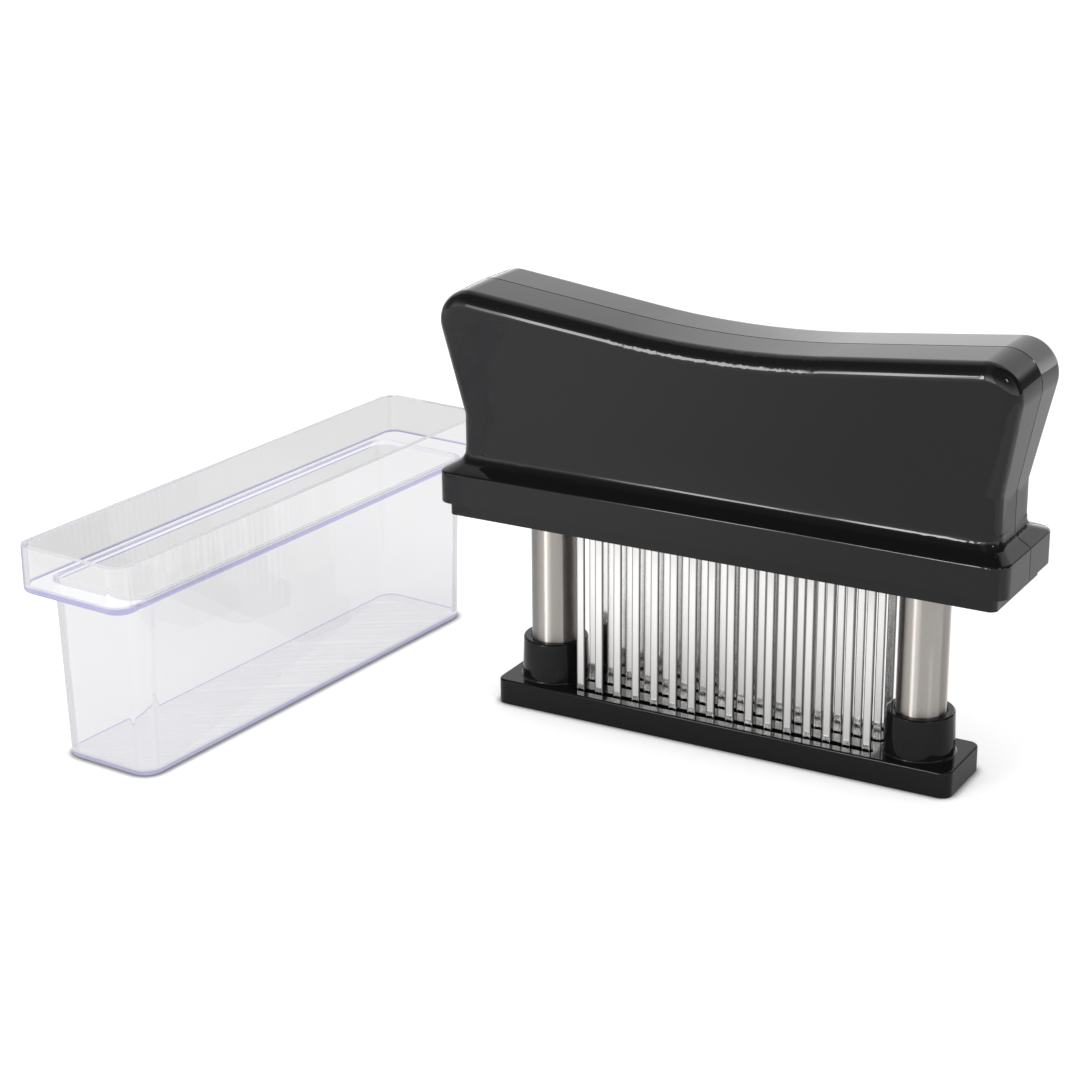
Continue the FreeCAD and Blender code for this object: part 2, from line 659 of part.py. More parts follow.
def make_grip(body, side):
    """Flared ends and saddle top, drafted away from the seam and rounded round the face, then the neck."""
    low = flare_z - PAST
    low_x = neck_x - PAST * end_slope
    profile = new_sketch(body, "profile", "XZ_Plane")
    draw_polygon(profile, [(-low_x, low), (low_x, low), (horn_x, horn_z), (0, valley_z), (-horn_x, horn_z)])
    pad(body, profile, grip_y + S["edge_round"], reverse=side > 0, taper=-S["seam_draft"])
    over = horn_z + S["edge_round"]
    out = grip_y + S["edge_round"] * 2
    lean = neck_y + (over - flare_z) * side_slope
    face = new_sketch(body, "face", "YZ_Plane")
    draw_polygon(face, [(0, low - PAST), (out * side, low - PAST), (out * side, over), (lean * side, over),
                        (neck_y * side, flare_z), (0, flare_z)])
    pocket(body, face, horn_x * 3, both_ways=True)
    dress(body, "Fillet", "saddle", S["saddle_round"], is_saddle_crease)
    dress(body, "Fillet", "horns", S["horn_round"], is_horn_crease)
    dress(body, "Fillet", "face_edge", S["edge_round"],
          lambda edge: abs(edge.BoundBox.Center.y) > neck_y.value + 0.5 and not is_level(edge, flare_z))
    neck = body.newObject("PartDesign::Pad", f"{body.Label}_neck")
    doc.recompute()
    grip = body.Tip if body.Tip is not neck else neck.BaseFeature
    foot = [f"Face{i + 1}" for i, one in enumerate(grip.Shape.Faces) if is_foot(one)]
    neck.Profile = (grip, foot)
    bind(neck, "Length", flare_z - flange_z - PAST)


def is_saddle_crease(edge):
    box = edge.BoundBox
    return abs(box.Center.x) < 0.01 and box.XLength < 0.01 and box.ZMin > flare_z.value + 1


def is_horn_crease(edge):
    box = edge.BoundBox
    return abs(box.Center.x) > neck_x.value and box.YLength > 5 and box.ZMin > valley_z.value


def is_foot(face):
    """The level face at the bottom of the flared grip, which the neck goes down from."""
    box = face.BoundBox
    return box.ZLength < 0.01 and near(box.ZMin, flare_z)


def make_flange(body, side):
    """The flange at the foot of the handle and the sloping shoulder above it."""
    low, high = (-flange_y, 0) if side < 0 else (0, flange_y)
    plan = new_sketch(body, "flange", "XY_Plane", flange_z)
    draw_half(plan, flange_x, flange_y * side, S["flange_corner"])
    pad(body, plan, S["flange_tall"])
    loft(body, "AdditiveLoft", shoulder_levels(body, side, "slope", SHOULDER_SLOPE))
    loft(body, "AdditiveLoft", shoulder_levels(body, side, "turn", SHOULDER_TURN), ruled=False)
    dress(body, "Fillet", "flange_edge", S["flange_edge"],
          lambda edge: is_level(edge, flange_top) and abs(edge.BoundBox.Center.y) > 0.5)


def shoulder_levels(body, side, name, shares):
    """Level outlines of the shoulder, each drawn in from the flange's edge and up by its shares."""
    levels = []
    for i, (inward, up) in enumerate(shares):
        level = new_sketch(body, f"{name}{i}", "XY_Plane", flange_top + S["shoulder_tall"] * up)
        half_x = flange_x - (flange_x - neck_x) * inward
        far_y = flange_y - (flange_y - neck_y) * inward
        radius = S["flange_corner"] - (S["flange_corner"] - S["edge_round"]) * inward
        draw_half(level, half_x, far_y * side, radius)
        levels.append(level)
    return levels


def draw_half(sketch, half_x, far_y, radius):
    """Half of a rounded rectangle, from the seam at y = 0 out to far_y, with two corner arcs."""
    up = FreeCAD.Vector(0, 0, 1)
    out = 1 if far_y.value > 0 else -1
    in_x = half_x - radius
    in_y = far_y - radius * out
    first = sketch.GeometryCount
    sides = [((-half_x, 0), (half_x, 0)), ((half_x, 0), (half_x, in_y)),
             ((in_x, far_y), (-in_x, far_y)), ((-half_x, in_y), (-half_x, 0))]
    for start, end in sides:
        sketch.addGeometry(Part.LineSegment(flat(start), flat(end)), False)
    turns = (0, math.pi / 2) if out > 0 else (-math.pi / 2, 0)
    right = Part.Circle(flat((in_x, in_y)), up, radius.value)
    sketch.addGeometry(Part.ArcOfCircle(right, turns[0], turns[1]), False)
    turns = (math.pi / 2, math.pi) if out > 0 else (math.pi, 3 * math.pi / 2)
    left = Part.Circle(flat((-in_x, in_y)), up, radius.value)
    sketch.addGeometry(Part.ArcOfCircle(left, turns[0], turns[1]), False)
    for i, (start, end) in enumerate(sides):
        pin(sketch, first + i, 1, start)
        pin(sketch, first + i, 2, end)
    arcs = ((4, 1, 2) if out > 0 else (4, 2, 1), (5, 2, 1) if out > 0 else (5, 1, 2))
    (right_arc, right_low, right_far), (left_arc, left_low, left_far) = arcs
    joins = [(first + 1, 2, first + right_arc, right_low), (first + 2, 1, first + right_arc, right_far),
             (first + 2, 2, first + left_arc, left_far), (first + 3, 1, first + left_arc, left_low)]
    for join in joins:
        sketch.addConstraint(Sketcher.Constraint("Coincident", *join))
    for arc in (first + right_arc, first + left_arc):
        held = sketch.addConstraint(Sketcher.Constraint("Radius", arc, radius.value))
        bind(sketch, f"Constraints[{held}]", radius)


def hollow_shell(body, side):
    """The room inside: carrier seat, clamp plate recess, ribbed cavity, column wells, screw holes."""
    seat = new_sketch(body, "carrier_seat", "XY_Plane", flange_z)
    draw_half(seat, flange_x - S["flange_wall"], (flange_y - S["flange_wall"]) * side, S["lip_corner"])
    pocket(body, seat, S["carrier_tall"], reverse=True)
    recess = new_sketch(body, "plate_recess", "XY_Plane", carrier_top)
    recess_x = plate_x + S["plate_spare"]
    draw_box(recess, (-recess_x, 0), (recess_x, cavity_y * side))
    pocket(body, recess, S["plate_thick"] + S["plate_spare"], reverse=True)
    high = valley_z - S["wall"]
    levels = [(carrier_top, cavity_y), (flare_z, cavity_y), (high, cavity_y + (high - flare_z) * side_slope)]
    rooms = []
    for i, (z, y) in enumerate(levels):
        room = new_sketch(body, f"cavity{i}", "XY_Plane", z)
        draw_box(room, (-cavity_x, 0), (cavity_x, y * side))
        rooms.append(room)
    loft(body, "SubtractiveLoft", rooms)
    for i in (-1, 0, 1):
        add_rib(body, side, S["rib_gap"] * i, f"rib{i + 1}", high)
    wells = new_sketch(body, "wells", "XY_Plane", carrier_top)
    seats = new_sketch(body, "spring_seats", "XY_Plane", carrier_top)
    holes = new_sketch(body, "screw_holes", "XY_Plane", carrier_top)
    for x in (-1, 1):
        draw_circle(wells, (column_x * x, 0), well_r)
        draw_circle(seats, (column_x * x, 0), seat_r)
        draw_circle(holes, (S["body_screw_apart"] / 2 * x, S["body_screw_side"] / 2 * side), S["m_shank"] / 2)
    pocket(body, wells, well_top - carrier_top, reverse=True)
    pocket(body, seats, roof_z - carrier_top, reverse=True)
    pocket(body, holes, lip_z + S["body_screw_len"] + S["screw_spare"] - carrier_top, reverse=True)


def add_rib(body, side, x, name, high):
    """A thin web across the cavity, from above the clamp screws to the roof."""
    rib = new_sketch(body, name, "YZ_Plane", x)
    low = plate_top + S["rib_clear"]
    bite = S["wall"] / 2
    foot_y = cavity_y + bite
    draw_polygon(rib, [(0, low), (foot_y * side, low), (foot_y * side, flare_z),
                       ((foot_y + (high - flare_z) * side_slope) * side, high), (0, high)])
    pad(body, rib, S["rib_thick"], both_ways=True)


# ---------------------------------------------------------------- the clear storage cover
def build_cover():
    """An open box that narrows to its floor under a wider rim; it stands beside the tool."""
    body = new_body("cover")
    half_x, half_y = S["cover_len"] / 2, S["cover_wide"] / 2
    step_z = S["cover_tall"] - S["rim_tall"]
    foot = new_sketch(body, "foot", "XY_Plane")
    draw_rounded(foot, half_x, -half_y, half_y, S["cover_corner"])
    pad(body, foot, step_z, taper=S["cover_draft"])
    dress(body, "Fillet", "foot_edge", S["cover_edge"], lambda edge: is_level(edge, 0))
    rim = new_sketch(body, "rim", "XY_Plane", step_z)
    rim_x, rim_y = S["rim_len"] / 2, S["rim_wide"] / 2
    draw_rounded(rim, rim_x, -rim_y, rim_y, S["cover_corner"])
    pad(body, rim, S["rim_tall"])
    dress(body, "Fillet", "rim_edge", S["cover_edge"],
          lambda edge: is_level(edge, step_z) and on_outline(edge, rim_x, rim_y))
    wall = S["cover_wall"]
    inner_r = S["cover_corner"] - wall
    inside = new_sketch(body, "inside", "XY_Plane", wall)
    draw_rounded(inside, half_x - wall, -half_y + wall, half_y - wall, inner_r)
    pocket(body, inside, step_z, reverse=True, taper=S["cover_draft"])
    mouth = new_sketch(body, "mouth", "XY_Plane", step_z + wall)
    draw_rounded(mouth, rim_x - wall, -rim_y + wall, rim_y - wall, inner_r)
    pocket(body, mouth, S["rim_tall"], reverse=True)
    gate = new_sketch(body, "gate", "XY_Plane", wall)
    draw_circle(gate, (0, 0), S["gate_dia"] / 2)
    pad(body, gate, S["gate_tall"])
    bind(body, "Placement.Base.x", S["cover_x"])
    bind(body, "Placement.Base.y", S["cover_y"])
    body.Placement = FreeCAD.Placement(body.Placement.Base, FreeCAD.Rotation(SIZES["cover_turn"], 0, 0))
    return body


def on_outline(edge, half_x, half_y):
    """The edge touches the outermost line of a rectangle, even about the origin."""
    box = edge.BoundBox
    across = max(abs(box.XMin), abs(box.XMax))
    along = max(abs(box.YMin), abs(box.YMax))
    return near(across, half_x) or near(along, half_y)


# ---------------------------------------------------------------- build, check and write
def build_all():
    parts = [build_base_plate()]
    for side, word in ((-1, "left"), (1, "right")):
        parts += [build_column(side, f"{word}_column"), build_core(side, f"{word}_column_core"),
                  build_collar(side, f"{word}_stop_collar"), build_spring(side, f"{word}_spring")]
    parts.append(build_screws("column_screws", S["head_sink"], S["foot_screw_len"] - S["head_sink"],
                              column_x * 2, None))
    parts += [build_shell(-1, "front_handle_shell"), build_shell(1, "rear_handle_shell")]
    parts += [build_carrier(), build_clamp_plate(), build_clamp_screws()]
    parts.append(build_screws("carrier_screws", lip_z + S["head_sink"], S["body_screw_len"] - S["head_sink"],
                              S["body_screw_apart"], S["body_screw_side"]))
    for row, word in ((-1, "front"), (0, "middle"), (1, "rear")):
        parts += [build_blade_row(row, f"{word}_blade_row"), build_blade_bar(row, f"{word}_blade_bar")]
    parts.append(build_cover())
    return parts


def check(parts):
    for thing in doc.Objects:
        if "Invalid" in thing.State or "Error" in thing.State:
            raise RuntimeError(f"{thing.Name} failed: {thing.State}")
    for part in parts:
        if part.Shape.isNull() or not part.Shape.isValid():
            raise RuntimeError(f"{part.Label} has no valid shape")


def write(parts):
    os.makedirs("parts", exist_ok=True)
    for part in parts:
        part.Shape.exportStep(f"parts/{part.Label}.step")
        box = part.Shape.BoundBox
        print(f"{part.Label:20s} solids {len(part.Shape.Solids):2d}  faces {len(part.Shape.Faces):4d}  "
              f"volume {part.Shape.Volume:9.1f}  z {box.ZMin:7.2f} to {box.ZMax:7.2f}")


made = build_all()
doc.recompute()
check(made)
write(made)
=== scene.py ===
import json
import math

import bpy
from mathutils import Matrix, Vector


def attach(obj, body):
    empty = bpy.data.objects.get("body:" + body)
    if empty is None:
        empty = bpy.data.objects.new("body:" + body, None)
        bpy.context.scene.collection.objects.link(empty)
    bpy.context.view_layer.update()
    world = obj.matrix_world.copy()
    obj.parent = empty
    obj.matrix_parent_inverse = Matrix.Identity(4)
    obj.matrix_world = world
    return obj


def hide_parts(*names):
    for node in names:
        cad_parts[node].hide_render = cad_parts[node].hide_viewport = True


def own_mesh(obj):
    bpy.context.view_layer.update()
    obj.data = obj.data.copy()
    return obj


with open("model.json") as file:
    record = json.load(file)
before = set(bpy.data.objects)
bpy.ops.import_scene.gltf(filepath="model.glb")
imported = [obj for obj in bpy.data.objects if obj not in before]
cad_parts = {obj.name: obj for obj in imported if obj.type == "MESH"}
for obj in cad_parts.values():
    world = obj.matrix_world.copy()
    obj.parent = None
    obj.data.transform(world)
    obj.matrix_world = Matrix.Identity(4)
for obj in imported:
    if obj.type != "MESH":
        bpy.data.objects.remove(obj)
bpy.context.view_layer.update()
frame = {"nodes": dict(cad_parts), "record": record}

MM = 0.001

# Sizes and places of the CAD pieces that the finishes and the new pieces follow
COLUMN_X = 51.8 * MM
BLADE_GAP = 5.4 * MM
COVER_MIDDLE = (-124.6 * MM, -26.7 * MM)
COVER_TURN = math.radians(85.2)
RIM_FOOT = 47 * MM


# Shaders ---------------------------------------------------------------------------------------


class Signal:
    """The output of a shader node. Arithmetic on it adds Math nodes."""

    def __init__(self, shader, node, socket):
        self.shader = shader
        self.node = node
        self.socket = socket

    def out(self, name):
        """Another output of the same node."""
        return Signal(self.shader, self.node, self.node.outputs[name])

    def maths(self, operation, *values):
        return self.shader.node("Math", {"operation": operation}, dict(enumerate(values)))

    def __add__(self, other):
        return self.maths("ADD", self, other)

    __radd__ = __add__

    def __sub__(self, other):
        return self.maths("SUBTRACT", self, other)

    def __rsub__(self, other):
        return self.maths("SUBTRACT", other, self)

    def __mul__(self, other):
        return self.maths("MULTIPLY", self, other)

    __rmul__ = __mul__

    def __abs__(self):
        return self.maths("ABSOLUTE", self)

    def between(self, low, high, first=0.0, last=1.0, shape="SMOOTHSTEP"):
        """first below low, last above high, and a smooth change in between."""
        settings = {"interpolation_type": shape}
        ends = {0: self, 1: low, 2: high, 3: first, 4: last}
        return self.shader.node("MapRange", settings, ends)

    def kept_to_one(self):
        """The same value, but never over 1, for a sum of masks."""
        return self.between(0, 1, shape="LINEAR")


class Shader:
    """A material or world whose nodes are added one by one."""

    def __init__(self, owner):
        owner.use_nodes = True
        self.owner = owner
        self.tree = owner.node_tree
        self.tree.nodes.clear()

    def node(self, kind, settings=None, sockets=None):
        """Adds a node of this kind, sets its settings first, then its sockets' values or links."""
        new = self.tree.nodes.new("ShaderNode" + kind)
        for name, value in (settings or {}).items():
            if name == "stops":
                self.set_stops(new.color_ramp, value)
            else:
                setattr(new, name, value)
        for name, value in (sockets or {}).items():
            if isinstance(value, Signal):
                self.tree.links.new(value.socket, new.inputs[name])
            else:
                new.inputs[name].default_value = value
        return Signal(self, new, next((s for s in new.outputs if s.enabled), None))

    def set_stops(self, ramp, stops):
        while len(ramp.elements) < len(stops):
            ramp.elements.new(0.5)
        for element, (place, level) in zip(ramp.elements, stops):
            element.position = place
            element.color = (level, level, level, 1)

    def finish(self, surface, volume=None):
        kind = "OutputWorld" if isinstance(self.owner, bpy.types.World) else "OutputMaterial"
        ends = {"Surface": surface}
        if volume:
            ends["Volume"] = volume
        self.node(kind, None, ends)
        return self.owner

    def place(self):
        """Where a point lies on its piece, in metres."""
        return self.node("TexCoord").out("Object")

    def split(self, vector):
        parts = self.node("SeparateXYZ", None, {0: vector})
        return parts.out("X"), parts.out("Y"), parts.out("Z")

    def coordinates(self):
        return self.split(self.place())

    def facing(self):
        """The direction that the surface looks in."""
        return self.split(self.node("NewGeometry").out("True Normal"))

    def length(self, vector):
        return self.node("VectorMath", {"operation": "LENGTH"}, {0: vector}).out("Value")

    def grey(self, level):
        return self.node("CombineColor", None, {0: level, 1: level, 2: level})

    def noise(self, scale, detail=2.0, stretch=(1, 1, 1)):
        sockets = {0: self.place(), 1: stretch}
        spread = self.node("VectorMath", {"operation": "MULTIPLY"}, sockets)
        sockets = {"Vector": spread, "Scale": scale, "Detail": detail}
        return self.node("TexNoise", None, sockets).out("Fac")

    def bump(self, height, distance):
        return self.node("Bump", None, {"Height": height, "Distance": distance})

    def blend(self, share, first, second):
        """A colour that goes from first to second as share goes from 0 to 1."""
        return self.node("Mix", {"data_type": "RGBA"}, {0: share, 6: first, 7: second})


# Finishes --------------------------------------------------------------------------------------

# How far from the tool's middle the base plate's polish starts to fade, and where it ends
POLISH_ENDS = (42 * MM, 44 * MM)

# How far from a blade's middle line the painted shade along its edges starts, and where it is full
EDGE_SHADE_BAND = (0.72 * MM, 0.92 * MM)
BLADE_FLAT = (0.84, 0.83, 0.82, 1)
BLADE_EDGE_SHADE = (0.14, 0.135, 0.13, 1)

STEEL_DARK = (0.49, 0.463, 0.432, 1)
STEEL_LIGHT = (0.53, 0.503, 0.472, 1)

# The cover's bands of violet, each as the place where it starts and the place where it is full
FOOT_TOP = (1.3 * MM, 1.7 * MM)
RIM_BAND_LOW = (RIM_FOOT - 0.5 * MM, RIM_FOOT - 0.2 * MM)
RIM_BAND_HIGH = (RIM_FOOT + 1.6 * MM, RIM_FOOT + 2.2 * MM)
RIM_ASIDE = (15.3 * MM, 15.8 * MM)
RIM_ENDWAYS = (70 * MM, 71 * MM)
CORNER_ASIDE = (12.7 * MM, 13.7 * MM)
CORNER_ENDWAYS = (71.9 * MM, 72.9 * MM)
PLASTIC_CLEAR = (0.985, 0.985, 0.978, 1)
PLASTIC_VIOLET = (0.36, 0.34, 0.66, 1)


def new_material(name):
    return Shader(bpy.data.materials.new(name))


def moulded_plastic(name, colour, roughness, ripple):
    """Plastic with the faint unevenness of a moulding."""
    shader = new_material(name)
    ends = {
        "Base Color": (*colour, 1),
        "Roughness": roughness,
        "IOR": 1.4,
        "Normal": shader.bump(shader.noise(70, 1.0), ripple),
    }
    return shader.finish(shader.node("BsdfPrincipled", None, ends))


def polished_base():
    """Black plastic that is buffed to a mirror between the columns."""
    shader = new_material("glossy_base")
    upward = shader.facing()[2]
    across = shader.coordinates()[0]
    buffed = abs(across).between(*POLISH_ENDS, 1.0, 0.0) * upward.between(0.9, 0.98)
    ends = {
        "Base Color": (0.0075, 0.0075, 0.0078, 1),
        "Roughness": 0.05,
        "IOR": 1.3,
        "Coat Weight": buffed,
        "Coat IOR": 1.75,
        "Coat Roughness": 0.03,
    }
    return shader.finish(shader.node("BsdfPrincipled", None, ends))


def turned_steel():
    """Tube with fine scratches round it, which stretch a reflection along it."""
    shader = new_material("turned_tube")
    grain = shader.noise(1.0, 3.0, (90, 90, 9000))
    ends = {
        "Base Color": shader.blend(grain, STEEL_DARK, STEEL_LIGHT),
        "Metallic": 1.0,
        "Roughness": grain.between(0.2, 0.8, 0.37, 0.39),
        "Anisotropic": 1.0,
        "Anisotropic Rotation": 0.25,
    }
    return shader.finish(shader.node("BsdfPrincipled", None, ends))


def satin_metal(name, colour, roughness):
    """Dull metal whose gloss is slightly uneven."""
    shader = new_material(name)
    wear = shader.noise(400, 3.0)
    ends = {
        "Base Color": (*colour, 1),
        "Metallic": 1.0,
        "Roughness": wear.between(0.2, 0.8, roughness * 0.8, roughness * 1.2),
    }
    return shader.finish(shader.node("BsdfPrincipled", None, ends))


def ground_blades():
    """Blades with bright flats, and painted shade on their edges and side faces, which are also
    duller.
    """
    shader = new_material("ground_blade")
    across = shader.coordinates()[0]
    pitch = {0: across - BLADE_GAP / 2, 1: BLADE_GAP / 2}
    from_middle = shader.node("Math", {"operation": "PINGPONG"}, pitch)
    # Painted shade: a band along each long edge, and the faces that look sideways, take the dark
    # edge colour and are rougher
    edge_band_shade = from_middle.between(*EDGE_SHADE_BAND) * 0.85
    side = abs(shader.facing()[0]).between(0.55, 0.75)
    edge = side.maths("MAXIMUM", side, edge_band_shade)
    wear = shader.noise(500, 2.0)
    ends = {
        "Base Color": shader.blend(edge, BLADE_FLAT, BLADE_EDGE_SHADE),
        "Metallic": 1.0,
        "Roughness": wear.between(0.2, 0.8, 0.10, 0.15) + edge * 0.25,
    }
    return shader.finish(shader.node("BsdfPrincipled", None, ends))


def beyond_cover(path):
    """1 for a ray that has come through clear plastic."""
    return path.out("Transmission Depth").kept_to_one()


def from_cover(across, along):
    """How far a point is from the cover's long middle line, and from its short one."""
    right, ahead = across - COVER_MIDDLE[0], along - COVER_MIDDLE[1]
    aside = abs(ahead * math.cos(COVER_TURN) - right * math.sin(COVER_TURN))
    endways = abs(right * math.cos(COVER_TURN) + ahead * math.sin(COVER_TURN))
    return aside, endways


def violet_share(shader, level_face):
    """1 at the feet of the cover and its rim, and in the rim's corners seen along the wall."""
    across, along, height = shader.coordinates()
    aside, endways = from_cover(across, along)
    foot = height.between(*FOOT_TOP, 1.0, 0.0)
    outside = (aside.between(*RIM_ASIDE) + endways.between(*RIM_ENDWAYS)).between(0, 1)
    rim_foot = height.between(*RIM_BAND_LOW) * height.between(*RIM_BAND_HIGH, 1.0, 0.0) * outside
    corner = aside.between(*CORNER_ASIDE) * endways.between(*CORNER_ENDWAYS)
    edgewise = shader.node("LayerWeight", None, {"Blend": 0.5}).out("Facing").between(0.5, 0.75)
    return (foot + rim_foot + edgewise * corner).kept_to_one() * (1 - level_face)


def clear_cover():
    """Clear plastic, violet where it is seen edgewise, that lets the lamps' light through."""
    shader = new_material("clear_cover")
    level_face = abs(shader.facing()[2]).between(0.93, 0.97)
    tint = shader.blend(violet_share(shader, level_face), PLASTIC_CLEAR, PLASTIC_VIOLET)
    ends = {"Base Color": tint, "Roughness": 0.0, "IOR": 1.49, "Transmission Weight": 1.0}
    clear = shader.node("BsdfPrincipled", None, ends)
    path = shader.node("LightPath")
    lit = path.out("Is Shadow Ray") + path.out("Is Diffuse Ray")
    many_walls = path.out("Transmission Depth").between(8, 9)
    height = shader.coordinates()[2]
    shade = lit * height.between(0.0, 2.4 * MM, 0.35, 0.03) * (1 - level_face * 0.9)
    open_way = shader.node("BsdfTransparent", None, {0: (1, 1, 1, 1)})
    shut_way = shader.node("BsdfTransparent", None, {0: (0, 0, 0, 1)})
    passed = shader.node("MixShader", None, {0: shade, 1: open_way, 2: shut_way})
    share = (lit + path.out("Is Reflection Ray") + many_walls).kept_to_one()
    surface = shader.node("MixShader", None, {0: share, 1: clear, 2: passed})
    depth = shader.node("VolumeAbsorption", None, {"Color": (0.2, 0.2, 0.64, 1), "Density": 15.0})
    return shader.finish(surface, depth)


finishes = {
    "black_plastic": moulded_plastic("glossy_black", (0.0075, 0.0075, 0.0078), 0.05, 0.00001),
    "black_base": polished_base(),
    "grey_plastic": moulded_plastic("grey_core", (0.08, 0.08, 0.085), 0.4, 0.00004),
    "white_plastic": moulded_plastic("white_bar", (0.8, 0.8, 0.78), 0.35, 0.00004),
    "column_steel": turned_steel(),
    "bright_steel": satin_metal("satin_steel", (0.72, 0.72, 0.71), 0.28),
    "blade_steel": ground_blades(),
    "spring_wire": satin_metal("drawn_wire", (0.6, 0.6, 0.6), 0.3),
    "clear_plastic": clear_cover(),
}

slots = {part["node"]: part["material_slot"] for part in frame["record"]["subparts"]}


def coat(piece, slot):
    piece.data.materials.clear()
    piece.data.materials.append(finishes[slot])


for node_name, node in frame["nodes"].items():
    coat(node, slots[node_name])
coat(frame["nodes"]["base_plate"], "black_base")


# Tools for new pieces --------------------------------------------------------------------------

HAIR = 0.001 * MM
SMOOTH_UP_TO = math.radians(30)


def pick(piece):
    """Makes this the only selected object."""
    bpy.ops.object.select_all(action="DESELECT")
    piece.select_set(True)
    bpy.context.view_layer.objects.active = piece


def edit(piece, select_by="VERT"):
    pick(piece)
    bpy.ops.object.mode_set(mode="EDIT")
    bpy.ops.mesh.select_mode(type=select_by)


def apply_modifiers(piece):
    pick(piece)
    for modifier in list(piece.modifiers):
        bpy.ops.object.modifier_apply(modifier=modifier.name)


def settle(piece):
    """Puts the piece's place into its mesh."""
    pick(piece)
    bpy.ops.object.transform_apply(location=True, rotation=True, scale=True)


def close_holes(piece):
    edit(piece, "EDGE")
    bpy.ops.mesh.select_all(action="DESELECT")
    bpy.ops.mesh.select_non_manifold()
    bpy.ops.mesh.edge_face_add()
    bpy.ops.mesh.select_all(action="SELECT")
    bpy.ops.mesh.normals_make_consistent(inside=False)
    bpy.ops.object.mode_set(mode="OBJECT")


def merged_copy(name, new_name):
    """A copy of a CAD node with its triangles joined, left in edit mode with all of it selected."""
    original = frame["nodes"][name]
    piece = original.copy()
    piece.data = original.data.copy()
    piece.name = new_name
    bpy.context.scene.collection.objects.link(piece)
    edit(piece)
    bpy.ops.mesh.select_all(action="SELECT")
    bpy.ops.mesh.remove_doubles(threshold=HAIR)
    bpy.ops.mesh.select_all(action="SELECT")
    return piece


def even_shading(piece):
    """Shades rounds smoothly and keeps flats flat."""
    bpy.ops.object.mode_set(mode="OBJECT")
    bpy.ops.mesh.customdata_custom_splitnormals_clear()
    bpy.ops.object.shade_smooth_by_angle(angle=SMOOTH_UP_TO)
    evened = piece.modifiers.new("even", "WEIGHTED_NORMAL")
    evened.keep_sharp = True
    apply_modifiers(piece)


# Handle shells and cover -----------------------------------------------------------------------

GROOVE = 0.2 * MM
SADDLE_LOW = 105 * MM
HANDLE_END = 70 * MM
OUTWARDS = 0.3  # the least share of a normal that still looks up or towards an end
ON_SEAM = 0.999  # a face whose normal has more than this along Y lies on the seam


def is_outside(face):
    """The face looks outwards from the top or an end of the handle."""
    normal, centre = face.normal, face.center
    looks_up = normal.z > OUTWARDS
    looks_endways = normal.x * centre.x > OUTWARDS * abs(centre.x)
    at_end = abs(centre.x) > HANDLE_END and (looks_up or looks_endways)
    on_saddle = centre.z > SADDLE_LOW and looks_up
    return abs(normal.y) < ON_SEAM and (at_end or on_saddle)


def select_seam(piece):
    """Selects the vertices along the outer edge of the face that meets the other shell."""
    mesh = piece.data
    for group in (mesh.vertices, mesh.edges, mesh.polygons):
        group.foreach_set("select", [False] * len(group))
    for face in mesh.polygons:
        if is_outside(face):
            for corner in face.vertices:
                vertex = mesh.vertices[corner]
                vertex.select = vertex.select or abs(vertex.co.y) < HAIR


def groove_shell(name, side):
    """A handle shell with its outer seam edge taken off, so that the two leave a fine groove."""
    shell = merged_copy(name, name.replace("handle_shell", "handle_moulding"))
    bpy.ops.mesh.bisect(plane_co=(0, side * GROOVE, 0), plane_no=(0, 1, 0))
    bpy.ops.object.mode_set(mode="OBJECT")
    select_seam(shell)
    edit(shell)
    bpy.ops.transform.shrink_fatten(value=-GROOVE * math.sqrt(2))
    bpy.ops.transform.resize(value=(1, 0, 1), center_override=(0, 0, 0))
    even_shading(shell)
    return shell


for side, place in ((-1, "front"), (1, "rear")):
    node_name = f"{place}_handle_shell"
    shell = groove_shell(node_name, side)
    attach(shell, "handle")
    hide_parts(node_name)

cover = merged_copy("cover", "cover_moulding")
even_shading(cover)
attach(cover, "storage_cover")
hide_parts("cover")


# Springs ---------------------------------------------------------------------------------------

SPRING_FOOT = 46.1 * MM
SPRING_TALL = 62.06 * MM
COIL_RADIUS = 4.3 * MM
WIRE_RADIUS = 0.4 * MM
WIRE_SIDES = 12
TURNS = 12
STEPS_A_TURN = 32


def wind_spring(name, x):
    """One compression spring: a small ring swept round its axis while it climbs."""
    bpy.ops.object.select_all(action="DESELECT")
    bpy.ops.mesh.primitive_circle_add(
        vertices=WIRE_SIDES,
        radius=WIRE_RADIUS,
        location=(COIL_RADIUS, 0, 0),
        rotation=(math.pi / 2, 0, 0),
    )
    spring = bpy.context.object
    spring.name = name
    settle(spring)
    sweep = spring.modifiers.new("wind", "SCREW")
    sweep.angle = TURNS * math.tau
    sweep.screw_offset = SPRING_TALL - 2 * WIRE_RADIUS
    sweep.steps = sweep.render_steps = TURNS * STEPS_A_TURN
    apply_modifiers(spring)
    close_holes(spring)
    spring.location = (x, 0, SPRING_FOOT + WIRE_RADIUS)
    settle(spring)
    bpy.ops.object.shade_smooth()
    coat(spring, "spring_wire")
    return spring


for side, x in (("left", -COLUMN_X), ("right", COLUMN_X)):
    spring = wind_spring(f"{side}_wound_spring", x)
    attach(spring, "guard")
    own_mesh(spring)
    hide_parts(f"{side}_spring")


# Floor -----------------------------------------------------------------------------------------

FLOOR_WIDE = 8.0
FLOOR_TONE = 0.92
# What the eye adds to the floor's light to see it white, and what it adds besides far away
EYE_LIFT = 0.36
FAR_LIFT = 0.5
FAR_AWAY = (0.3, 1.2)
# How far from a piece the painted contact shadow on the floor reaches
CONTACT_SHADOW_REACH = 3 * MM
FOOTPRINT_ASIDE = (15 * MM, 18 * MM)
FOOTPRINT_ENDWAYS = (68 * MM, 72 * MM)
UNDER_COVER = 0.22
# How many walls of clear plastic light passes, and what the floor's light gains there
WALLS_PASSED = (1.5, 7.5)
WALLS_LIFT = (0.10, 0.64)
